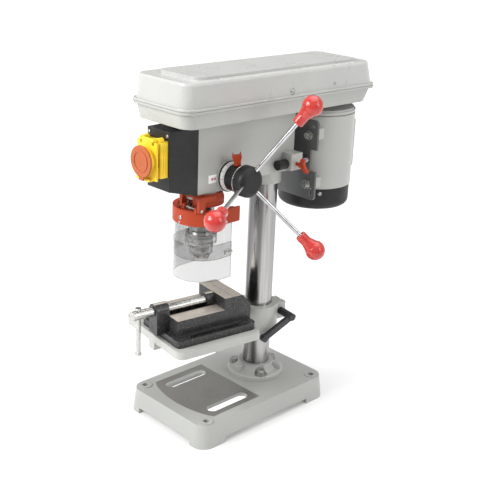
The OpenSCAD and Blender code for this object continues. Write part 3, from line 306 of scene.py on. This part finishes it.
def chuck_steel():
    """Hardened steel turned bright: dark and light bands round the chuck over fine turning marks."""
    look = Finish("chuck_steel")
    bands = look.ramp(look.noise(210, 1, (0.02, 0.02, 1)), 0.42, 0.58)
    marks = look.noise(900, 3, (0.05, 0.05, 1))
    stains = look.ramp(look.noise(90, 4), 0.4, 0.7)
    base = look.blend(bands, (0.42, 0.42, 0.425), (0.86, 0.86, 0.85))
    base = look.blend(look.math("MULTIPLY", stains, 0.3), base, (0.22, 0.215, 0.21))
    base = look.blend(look.math("MULTIPLY", look.edges(0.0005), 0.7), base, (0.86, 0.85, 0.83))
    look.set("Base Color", base)
    look.set("Metallic", 1.0)
    look.set("Roughness", look.ramp(stains, 0.2, 0.8, 0.16, 0.30))
    look.set("Normal", look.relief(marks, 0.2, 0.00005, look.rounded_normal(0.0005)))
    return look.material


def machined_on(look, mask, colour, streak):
    """Lays bare machined metal with fine tool marks over a finished look, where mask is 1."""
    marks = look.noise(420, 3, streak)
    wide = look.noise(22, 4)
    metal = look.blend(look.ramp(marks, 0.35, 0.7), shade(colour, 0.80), shade(colour, 1.12))
    metal = look.blend(look.math("MULTIPLY", look.ramp(wide, 0.4, 0.7), 0.35), metal, shade(colour, 0.70))
    for name, value in (("Base Color", metal),
                        ("Roughness", look.ramp(marks, 0.3, 0.7, 0.26, 0.44)),
                        ("Metallic", 0.6)):
        socket = look.shader.inputs[name]
        painted = socket.links[0].from_socket if socket.is_linked else socket.default_value
        if name == "Base Color":
            look.set(name, look.blend(mask, painted, value))
        elif name == "Metallic":
            look.set(name, look.math("MULTIPLY", mask, value))
        else:
            difference = look.math("SUBTRACT", value, painted)
            look.set(name, look.math("MULTIPLY_ADD", mask, difference, painted))


def base_enamel():
    """The base's enamel, with its panel and slots left as bare machined iron."""
    look = enamel_look("base_enamel", (0.395, 0.40, 0.38))
    boss_rise = 0.0012
    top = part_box("base")[1].z - boss_rise
    height = look.place()[2]
    below_paint = look.math("LESS_THAN", height, top - 0.0004)
    level = look.math("GREATER_THAN", look.facing()[2], 0.9)
    high_up = look.math("GREATER_THAN", height, top - 0.0032)
    mask = look.math("MULTIPLY", look.math("MULTIPLY", below_paint, level), high_up)
    machined_on(look, mask, (0.33, 0.32, 0.30), (1, 9, 9))
    return look.material


def vise_enamel(name, level_z):
    """Black enamel on a rough casting, with painted glints as lighter specks in its colour, and the ways and
    jaw tops ground bare.
    """
    look = powder_look(name, (0.012, 0.012, 0.013), 1.0)
    painted = look.shader.inputs["Base Color"].links[0].from_socket
    # Painted glints: small lighter specks mixed into the black, standing in for light caught by the rough
    # casting.
    painted_glints = look.ramp(look.noise(430, 3), 0.58, 0.66)
    look.set("Base Color", look.blend(look.math("MULTIPLY", painted_glints, 0.7), painted, (0.13, 0.125, 0.12)))
    look.set("Coat Weight", 0.35)
    facing = look.math("GREATER_THAN", look.facing()[2], 0.95)
    high_up = look.math("GREATER_THAN", look.place()[2], level_z - 0.0004)
    machined_on(look, look.math("MULTIPLY", facing, high_up), (0.74, 0.67, 0.59), (12, 1, 12))
    return look.material


def chrome(name):
    """Bright plate with a faint haze."""
    look = Finish(name)
    haze = look.noise(60, 4)
    base = look.blend(look.ramp(haze, 0.35, 0.7), (0.50, 0.505, 0.52), (0.66, 0.66, 0.67))
    look.set("Base Color", base)
    look.set("Metallic", 1.0)
    look.set("Roughness", look.ramp(haze, 0.3, 0.75, 0.07, 0.16))
    look.set("Normal", look.relief(look.noise(900, 2), 0.05, 0.00002, look.rounded_normal(0.0006)))
    return look.material


def moulded(name, colour, roughness, grain=0.2, grain_scale=900, coat=0.0, gloss=0.5):
    """Moulded plastic: fine grain, faint flow marks and rubbed edges."""
    look = Finish(name)
    flow = look.noise(24, 3, (1, 1, 2))
    base = look.blend(look.ramp(flow, 0.3, 0.7), shade(colour, 0.90), shade(colour, 1.06))
    rubbed = look.math("MULTIPLY", look.edges(0.0008), look.ramp(look.noise(220, 3), 0.4, 0.65))
    lighter = tuple(0.78 * channel + 0.10 for channel in colour)
    base = look.blend(look.math("MULTIPLY", rubbed, 0.5), base, lighter)
    look.set("Base Color", base)
    look.set("Roughness", look.ramp(look.noise(80, 3), 0.3, 0.7, roughness - 0.05, roughness + 0.07))
    look.set("Specular IOR Level", gloss)
    look.set("Coat Weight", coat)
    look.set("Coat Roughness", 0.08)
    look.set("Normal", look.relief(look.noise(grain_scale, 2), grain, 0.00008, look.rounded_normal(0.0009)))
    return look.material


def powder_look(name, colour, pebbles=0.45):
    """Matt powder coat with a pebbled skin."""
    look = Finish(name)
    drift = look.ramp(look.noise(18, 4), 0.3, 0.7)
    base = look.blend(drift, shade(colour, 0.85), shade(colour, 1.2))
    rubbed = look.math("MULTIPLY", look.edges(0.0008), look.ramp(look.noise(190, 4), 0.48, 0.62))
    look.set("Base Color", look.blend(look.math("MULTIPLY", rubbed, 0.5), base, (0.16, 0.16, 0.16)))
    look.set("Roughness", look.ramp(look.noise(60, 3), 0.3, 0.7, 0.42, 0.58))
    look.set("Normal", look.relief(look.noise(620, 3), pebbles, 0.0002, look.rounded_normal(0.001)))
    return look


def clear_sheet(name):
    """Clear sheet with a grey tint, darker at its rims, with wiping scuffs."""
    look = Finish(name)
    scuffs = look.ramp(look.noise(70, 5, (1, 1, 0.3)), 0.52, 0.72)
    look.set("Base Color", look.blend(scuffs, (0.07, 0.07, 0.068), (0.24, 0.24, 0.23)))
    look.set("Roughness", look.math("ADD", look.math("MULTIPLY", scuffs, 0.2), 0.06))
    rim = look.math("MULTIPLY", look.edges(0.0016), 0.55)
    look.set("Alpha", look.math("ADD", look.math("ADD", look.math("MULTIPLY", scuffs, 0.05), 0.23), rim))
    look.set("Coat Weight", 0.6)
    look.set("Coat Roughness", 0.04)
    look.set("Normal", look.relief(look.noise(30, 2), 0.04, 0.0006, look.rounded_normal(0.0006)))
    return look.material


def dial_print(name):
    """White scale ring with fine dark marks all the way round."""
    look = Finish(name)
    low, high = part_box("depth_scale")
    middle = (low + high) / 2
    x, y, z = look.place()
    angle = look.math("ARCTAN2", look.math("SUBTRACT", z, middle.z), look.math("SUBTRACT", y, middle.y))
    part = look.math("FRACT", look.math("MULTIPLY", angle, 60 / (2 * math.pi)))
    fine = look.math("LESS_THAN", part, 0.22)
    tenth = look.math("LESS_THAN", look.math("FRACT", look.math("MULTIPLY", angle, 12 / (2 * math.pi))), 0.05)
    reach = look.math("GREATER_THAN", x, low.x + 0.0042)
    ticks = look.math("MAXIMUM", look.math("MULTIPLY", fine, reach), tenth)
    base = look.blend(look.ramp(look.noise(40, 3), 0.3, 0.7), (0.70, 0.70, 0.67), (0.82, 0.82, 0.80))
    look.set("Base Color", look.blend(ticks, base, (0.03, 0.03, 0.03)))
    look.set("Roughness", look.ramp(look.noise(90, 3), 0.3, 0.7, 0.3, 0.42))
    look.set("Normal", look.relief(look.noise(800, 2), 0.1, 0.00004, look.rounded_normal(0.0006)))
    return look.material


def make_finishes():
    return {
        "grey_paint": enamel("grey_enamel", (0.44, 0.445, 0.42)),
        "cover_paint": enamel("cover_enamel", (0.50, 0.505, 0.485), 0.28, 0.1, 0.85),
        "polished_steel": bare_metal("ground_steel", (0.42, 0.42, 0.43), 0.24, (1, 1, 9), 220, 0.25),
        "zinc_steel": bare_metal("zinc_plate", (0.54, 0.54, 0.52), 0.27, (1, 1, 1), 420, 0.25),
        "chrome": chrome("chrome_plate"),
        "bearing_steel": bare_metal("bearing_steel", (0.42, 0.43, 0.44), 0.22, (1, 1, 6), 260),
        "dark_steel": enamel("dark_plate_enamel", (0.10, 0.105, 0.105), 0.36, 0.9, 3.2),
        "black_oxide": bare_metal("black_oxide", (0.075, 0.075, 0.08), 0.38, (1, 1, 1), 380),
        "spring_steel": bare_metal("spring_steel", (0.26, 0.28, 0.31), 0.3),
        "black_plastic": moulded("black_plastic", (0.012, 0.012, 0.013), 0.46, 0.18, gloss=0.38),
        "black_sheet": powder_look("black_powder_coat", (0.010, 0.010, 0.011)).material,
        "red_knob": moulded("red_knob_plastic", (0.56, 0.035, 0.028), 0.2, 0.03, 400, 0.4),
        "orange_plastic": moulded("orange_plastic", (0.40, 0.044, 0.010), 0.44, 0.15, gloss=0.3),
        "yellow_plastic": moulded("yellow_plastic", (0.97, 0.68, 0.03), 0.36, 0.15),
        "disc_plastic": moulded("stop_disc_plastic", (0.45, 0.105, 0.03), 0.42, 0.12, coat=0.06, gloss=0.35),
        "green_plastic": moulded("green_plastic", (0.02, 0.30, 0.07), 0.3),
        "stop_plastic": moulded("stop_plastic", (0.50, 0.02, 0.02), 0.3),
        "white_plastic": dial_print("dial_print"),
        "clear_plastic": clear_sheet("clear_sheet"),
        "rubber": moulded("belt_rubber", (0.016, 0.016, 0.016), 0.6, 0.4, 600),
        "aluminium": bare_metal("turned_aluminium", (0.68, 0.68, 0.68), 0.3, (1, 1, 12), 320),
        "vise_paint": vise_enamel("vise_enamel", 0.1975),
        "print_white": moulded("print_white", (0.86, 0.86, 0.84), 0.3, 0.05, 900, 0.2),
    }


def paint_every_node(finishes):
    chuck = chuck_steel()
    own = {"base": base_enamel(), "column": column_steel(), "chuck_body": chuck, "chuck_sleeve": chuck}
    for name, piece in nodes.items():
        piece.data.materials.clear()
        piece.data.materials.append(own.get(name) or finishes[slot_of[name]])


# ---------- modelled pieces ----------

def start_piece():
    """Leaves nothing selected, so that the next primitive is worked on alone."""
    bpy.ops.object.select_all(action="DESELECT")


def select_faces(piece, wanted):
    """In edit mode, selects the faces for which wanted(face) holds."""
    mesh = bmesh.from_edit_mesh(piece.data)
    for face in mesh.faces:
        face.select_set(wanted(face))
    bmesh.update_edit_mesh(piece.data)


def bevelled(piece, width, segments=2, angle=35):
    modifier = piece.modifiers.new("bevel", "BEVEL")
    modifier.width = width
    modifier.segments = segments
    modifier.limit_method = "ANGLE"
    modifier.angle_limit = math.radians(angle)


def finish_piece(piece, name, body, material):
    """Puts the place into the mesh, applies the modifiers and lets the piece ride on its body."""
    bpy.ops.object.select_all(action="DESELECT")
    piece.select_set(True)
    bpy.context.view_layer.objects.active = piece
    bpy.ops.object.transform_apply(location=True, rotation=True, scale=True)
    for modifier in list(piece.modifiers):
        bpy.ops.object.modifier_apply(modifier=modifier.name)
    bpy.ops.object.shade_smooth_by_angle(angle=math.radians(35))
    piece.name = name
    piece.data.materials.append(material)
    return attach(piece, body)


def spread(piece, places):
    """Puts a shaped piece at the first (location, turn), and a copy of it at each of the others."""
    pieces = [piece]
    for _ in places[1:]:
        bpy.ops.object.duplicate()
        pieces.append(bpy.context.object)
    for each, (location, turn) in zip(pieces, places):
        each.location = location
        each.rotation_euler = turn
    return pieces


def pointing(outward):
    """The turn that takes a piece made along Z to point outward."""
    return Vector(outward).to_track_quat("Z", "Y").to_euler()


def turned(radius, steps, sides=40):
    """A turned piece along Z: a disc, then one ring for each (narrower, further up) step."""
    start_piece()
    bpy.ops.mesh.primitive_circle_add(vertices=sides, radius=radius, fill_type="NGON")
    piece = bpy.context.object
    bpy.ops.object.mode_set(mode="EDIT")
    bpy.ops.mesh.select_all(action="SELECT")
    for narrower, further in steps:
        if narrower > 0:
            bpy.ops.mesh.inset(thickness=narrower)
            bpy.ops.transform.translate(value=(0, 0, further))
        else:
            bpy.ops.mesh.extrude_region_move(TRANSFORM_OT_translate={"value": (0, 0, further)})
    bpy.ops.mesh.select_all(action="SELECT")
    bpy.ops.mesh.normals_make_consistent(inside=False)
    bpy.ops.object.mode_set(mode="OBJECT")
    return piece


def pan_screws(names, places, radius, body, finishes, washer=0.0):
    """Pan-head screws with a sunk centre, one at each (location, outward); washer is a washer's radius."""
    head = [(0, radius * 0.45), (radius * 0.18, radius * 0.16), (radius * 0.34, radius * 0.08),
            (0, -radius * 0.4)]
    if washer:
        piece = turned(washer, [(0, 0.0012), (washer - radius, 0)] + head, 24)
    else:
        piece = turned(radius, head, 24)
    bevelled(piece, radius * 0.06, 2, 50)
    pieces = spread(piece, [(location, pointing(outward)) for location, outward in places])
    for each, name in zip(pieces, names):
        finish_piece(each, name, body, finishes["zinc_steel"])


def block(low, high, bevel, shape):
    """A bevelled block between two corners; shape(piece) works on it in edit mode first."""
    start_piece()
    low, high = Vector(low), Vector(high)
    bpy.ops.mesh.primitive_cube_add(size=1, location=(low + high) / 2, scale=high - low)
    piece = bpy.context.object
    bpy.ops.object.transform_apply(location=True, rotation=True, scale=True)
    bpy.ops.object.mode_set(mode="EDIT")
    shape(piece)
    bpy.ops.object.mode_set(mode="OBJECT")
    bevelled(piece, bevel)
    return piece


def raise_face(normal, inset, rise):
    """Insets the face with that normal and pulls it out along it."""
    def shape(piece):
        select_faces(piece, lambda face: face.normal.dot(Vector(normal)) > 0.9)
        bpy.ops.mesh.inset(thickness=inset)
        bpy.ops.mesh.extrude_region_move(TRANSFORM_OT_translate={"value": Vector(normal) * rise})
    return shape


def add_cover_screws(finishes):
    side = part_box("lid")[1].x - 0.004
    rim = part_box("cover_pan")[1].z
    outward = (1, 0, 0)
    radius = 0.0028
    washer = 0.0052
    pan_screws(["lid_screw_front"], [((side, 0.050, rim + 0.009), outward)], radius,
               "belt_cover_lid", finishes, washer)
    pan_screws(["lid_screw_rear"], [((side, 0.147, rim + 0.012), outward)], radius,
               "belt_cover_lid", finishes)


def add_pointer_plate(finishes):
    """White plate beside the dial with two red marks that point at each other."""
    middle = Vector((0.0285, -0.0765, 0.4175))
    plate = block(middle + Vector((-0.0005, -0.0095, -0.0065)), middle + Vector((0.0006, 0.0095, 0.0065)),
                  0.0003, raise_face((1, 0, 0), 0.0008, 0.0003))
    finish_piece(plate, "pointer_plate", "frame", finishes["print_white"])
    start_piece()
    bpy.ops.mesh.primitive_cylinder_add(vertices=3, radius=0.0026, depth=0.0006)
    mark = bpy.context.object
    bevelled(mark, 0.0002)
    flat_on_side = math.pi / 2
    marks = spread(mark, [(middle + Vector((0.0010, -0.0027, 0)), (0, flat_on_side, 0)),
                          (middle + Vector((0.0010, 0.0027, 0)), (math.pi, flat_on_side, 0))])
    for each, name in zip(marks, ("pointer_mark_front", "pointer_mark_rear")):
        finish_piece(each, name, "frame", finishes["red_knob"])


def add_hub_ring(finishes):
    """Thin bright ring behind the hub."""
    low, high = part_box("feed_hub")
    middle = (low + high) / 2
    radius = (high.z - low.z) / 2 + 0.0004
    ring = turned(radius, [(0, 0.0014), (0.0006, 0.0003), (0.004, 0)], 64)
    spread(ring, [((low.x - 0.0002, middle.y, middle.z), pointing((1, 0, 0)))])
    finish_piece(ring, "hub_ring", "feed", finishes["zinc_steel"])


def add_motor_screws(finishes):
    low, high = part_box("motor_end_cap")
    middle = (low + high) / 2
    radius = (high.x - low.x) / 2 - 0.0004
    places = []
    for angle in (-38, 82, 202):
        outward = Vector((math.cos(math.radians(angle)), math.sin(math.radians(angle)), 0))
        places.append((Vector((middle.x, middle.y, high.z - 0.008)) + outward * radius, outward))
    names = ["end_cap_screw_%d" % number for number in (1, 2, 3)]
    pan_screws(names, places, 0.0032, "motor_carriage", finishes)


def add_guard_screws(finishes):
    for name, place, outward, radius in (
            ("guard_screw_upper", (0.003, -0.1172, 0.3585), (0, -1, 0), 0.0032),
            ("guard_screw_lower", (0.000, -0.1172, 0.3500), (0, -1, 0), 0.0020),
            ("guard_screw_side", (0.0448, -0.062, 0.3510), (1, 0, 0), 0.0022)):
        pan_screws([name], [(place, outward)], radius, "guard", finishes)


def add_box_screws(finishes):
    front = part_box("switch_box")[0].y + 0.0001
    outward = (0, -1, 0)
    pan_screws(["box_screw_upper", "box_screw_lower"],
               [((0.0205, front, 0.4925), outward), ((-0.0205, front, 0.4925), outward)],
               0.0024, "frame", finishes)


def add_switch_ribs(finishes):
    """Three grip ribs along each side of the yellow switch."""
    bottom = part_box("switch_housing")[0]
    front = bottom.y + 0.0078
    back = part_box("switch_box")[0].y - 0.0008
    rib = block((0.0216, -0.0009, bottom.z + 0.006), (0.0228, 0.0009, bottom.z + 0.047), 0.0004,
                raise_face((1, 0, 0), 0.0003, 0.0003))
    names = []
    places = []
    for number, share in enumerate((0.2, 0.5, 0.8)):
        for side, turn in (("left", math.pi), ("right", 0)):
            names.append("switch_rib_%s_%d" % (side, number + 1))
            places.append(((0, front + (back - front) * share, 0), (0, 0, turn)))
    for each, name in zip(spread(rib, places), names):
        finish_piece(each, name, "frame", finishes["yellow_plastic"])


def add_flange_ribs(finishes):
    """Three cast ribs from the neck of the column flange to its rim, between the bolts."""
    low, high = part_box("column_flange")
    middle = (low + high) / 2
    start_piece()
    bpy.ops.mesh.primitive_cube_add(size=1, location=(0.0375, 0, low.z + 0.0125), scale=(0.016, 0.005, 0.009))
    rib = bpy.context.object
    bpy.ops.object.transform_apply(location=True, rotation=True, scale=True)
    bpy.ops.object.mode_set(mode="EDIT")
    select_faces(rib, lambda face: face.normal.z > 0.9)
    bpy.ops.mesh.extrude_region_move(TRANSFORM_OT_translate={"value": (-0.006, 0, 0.0035)})
    bpy.ops.object.mode_set(mode="OBJECT")
    bevelled(rib, 0.0009, 3)
    places = [((middle.x, middle.y, 0), (0, 0, math.radians(angle))) for angle in (30, 150, 270)]
    for number, each in enumerate(spread(rib, places)):
        finish_piece(each, "flange_rib_%d" % (number + 1), "frame", finishes["grey_paint"])


def add_sheet_clip(finishes):
    """Two small nuts that hold the lower sheet to the upper one."""
    nut = turned(0.0034, [(0, 0.0016), (0.0008, 0.0006), (0, 0.0016), (0.0012, 0.0004)], 24)
    outward = pointing((1, 0, 0))
    nuts = spread(nut, [((0.0446, -0.062, 0.3010), outward), ((0.0446, -0.052, 0.3010), outward)])
    for each, name in zip(nuts, ("sheet_nut_rear", "sheet_nut_middle")):
        finish_piece(each, name, "guard_sheet", finishes["zinc_steel"])


def main():
    add_camera()
    add_studio()
    add_floor()
    finishes = make_finishes()
    paint_every_node(finishes)
    add_cover_screws(finishes)
    add_pointer_plate(finishes)
    add_hub_ring(finishes)
    add_motor_screws(finishes)
    add_guard_screws(finishes)
    add_box_screws(finishes)
    add_switch_ribs(finishes)
    add_flange_ribs(finishes)
    add_sheet_clip(finishes)


main()
